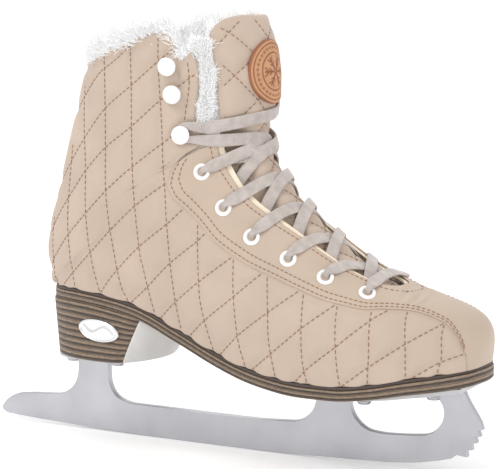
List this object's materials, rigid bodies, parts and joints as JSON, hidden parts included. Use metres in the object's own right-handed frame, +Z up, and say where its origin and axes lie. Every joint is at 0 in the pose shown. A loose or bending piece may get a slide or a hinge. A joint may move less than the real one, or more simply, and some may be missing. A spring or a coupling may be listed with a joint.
{
  "type": "figure skate",
  "caption": "Lined leather figure skate with lace eyelets and hooks, a stacked heel and a steel blade screwed under its sole.",
  "frame": {"origin": "on the ice, under the middle of the whole skate; the blade's lowest point is z = 0", "axes": "+X towards the toe along the blade, +Y towards the wearer's left, which is the inner side of this right skate, +Z up"},
  "size_m": [0.292, 0.0812, 0.2313],
  "materials": {
    "quilted_leather": "soft nubuck leather, quilted in diamonds with brown stitches",
    "smooth_leather": "smooth matte leather with a pale cut edge",
    "fleece": "white long-pile fleece",
    "patch_leather": "tan leather, embossed with rings",
    "white_enamel": "white gloss enamel",
    "lace_fabric": "flat ribbed lace",
    "lace_tip_plastic": "clear-coated plastic",
    "board": "pressed fibre board",
    "footbed_foam": "cloth over foam",
    "dark_rand": "matt dark brown",
    "layered_sole": "brown layers, like stacked leather",
    "grey_cover": "smooth satin",
    "badge_metal": "polished",
    "blade_steel": "satin, ground bright at the edge",
    "plate_steel": "satin",
    "screw_steel": "zinc-plated"
  },
  "bodies": {
    "skate": {"quarter_lateral": "quilted_leather", "quarter_medial": "quilted_leather", "tongue_lower": "quilted_leather", "vamp_facing": "smooth_leather", "boot_fleece": "fleece", "tongue_lower_fleece": "fleece", "eyelet_lateral_1": "white_enamel", "eyelet_lateral_2": "white_enamel", "eyelet_lateral_3": "white_enamel", "eyelet_lateral_4": "white_enamel", "eyelet_lateral_5": "white_enamel", "eyelet_lateral_6": "white_enamel", "eyelet_medial_1": "white_enamel", "eyelet_medial_2": "white_enamel", "eyelet_medial_3": "white_enamel", "eyelet_medial_4": "white_enamel", "eyelet_medial_5": "white_enamel", "eyelet_medial_6": "white_enamel", "hook_lateral_1": "white_enamel", "hook_lateral_2": "white_enamel", "hook_lateral_3": "white_enamel", "hook_medial_1": "white_enamel", "hook_medial_2": "white_enamel", "hook_medial_3": "white_enamel", "lace": "lace_fabric", "lace_tip_1": "lace_tip_plastic", "lace_tip_2": "lace_tip_plastic", "insole_board": "board", "footbed": "footbed_foam", "midsole": "dark_rand", "outsole": "layered_sole", "heel_block": "layered_sole", "heel_breast": "grey_cover", "heel_badge": "badge_metal", "blade": "blade_steel", "heel_plate": "plate_steel", "sole_plate": "plate_steel", "heel_screw_lateral_1": "screw_steel", "heel_screw_medial_1": "screw_steel", "heel_screw_lateral_2": "screw_steel", "heel_screw_medial_2": "screw_steel", "sole_screw_lateral_1": "screw_steel", "sole_screw_medial_1": "screw_steel", "sole_screw_lateral_2": "screw_steel", "sole_screw_medial_2": "screw_steel", "sole_screw_lateral_3": "screw_steel", "sole_screw_medial_3": "screw_steel"},
    "tongue_flap": {"tongue_upper": "quilted_leather", "tongue_upper_fleece": "fleece", "tongue_patch": "patch_leather"}
  },
  "joints": [
    {"name": "tongue_fold", "type": "hinge", "parent": "skate", "child": "tongue_flap", "pos_m": [0.0262, 0, 0.1857], "axis": [0, 1, 0], "range_deg": [0, 40], "stiffness_Nm_per_rad": 0.2}
  ]
}
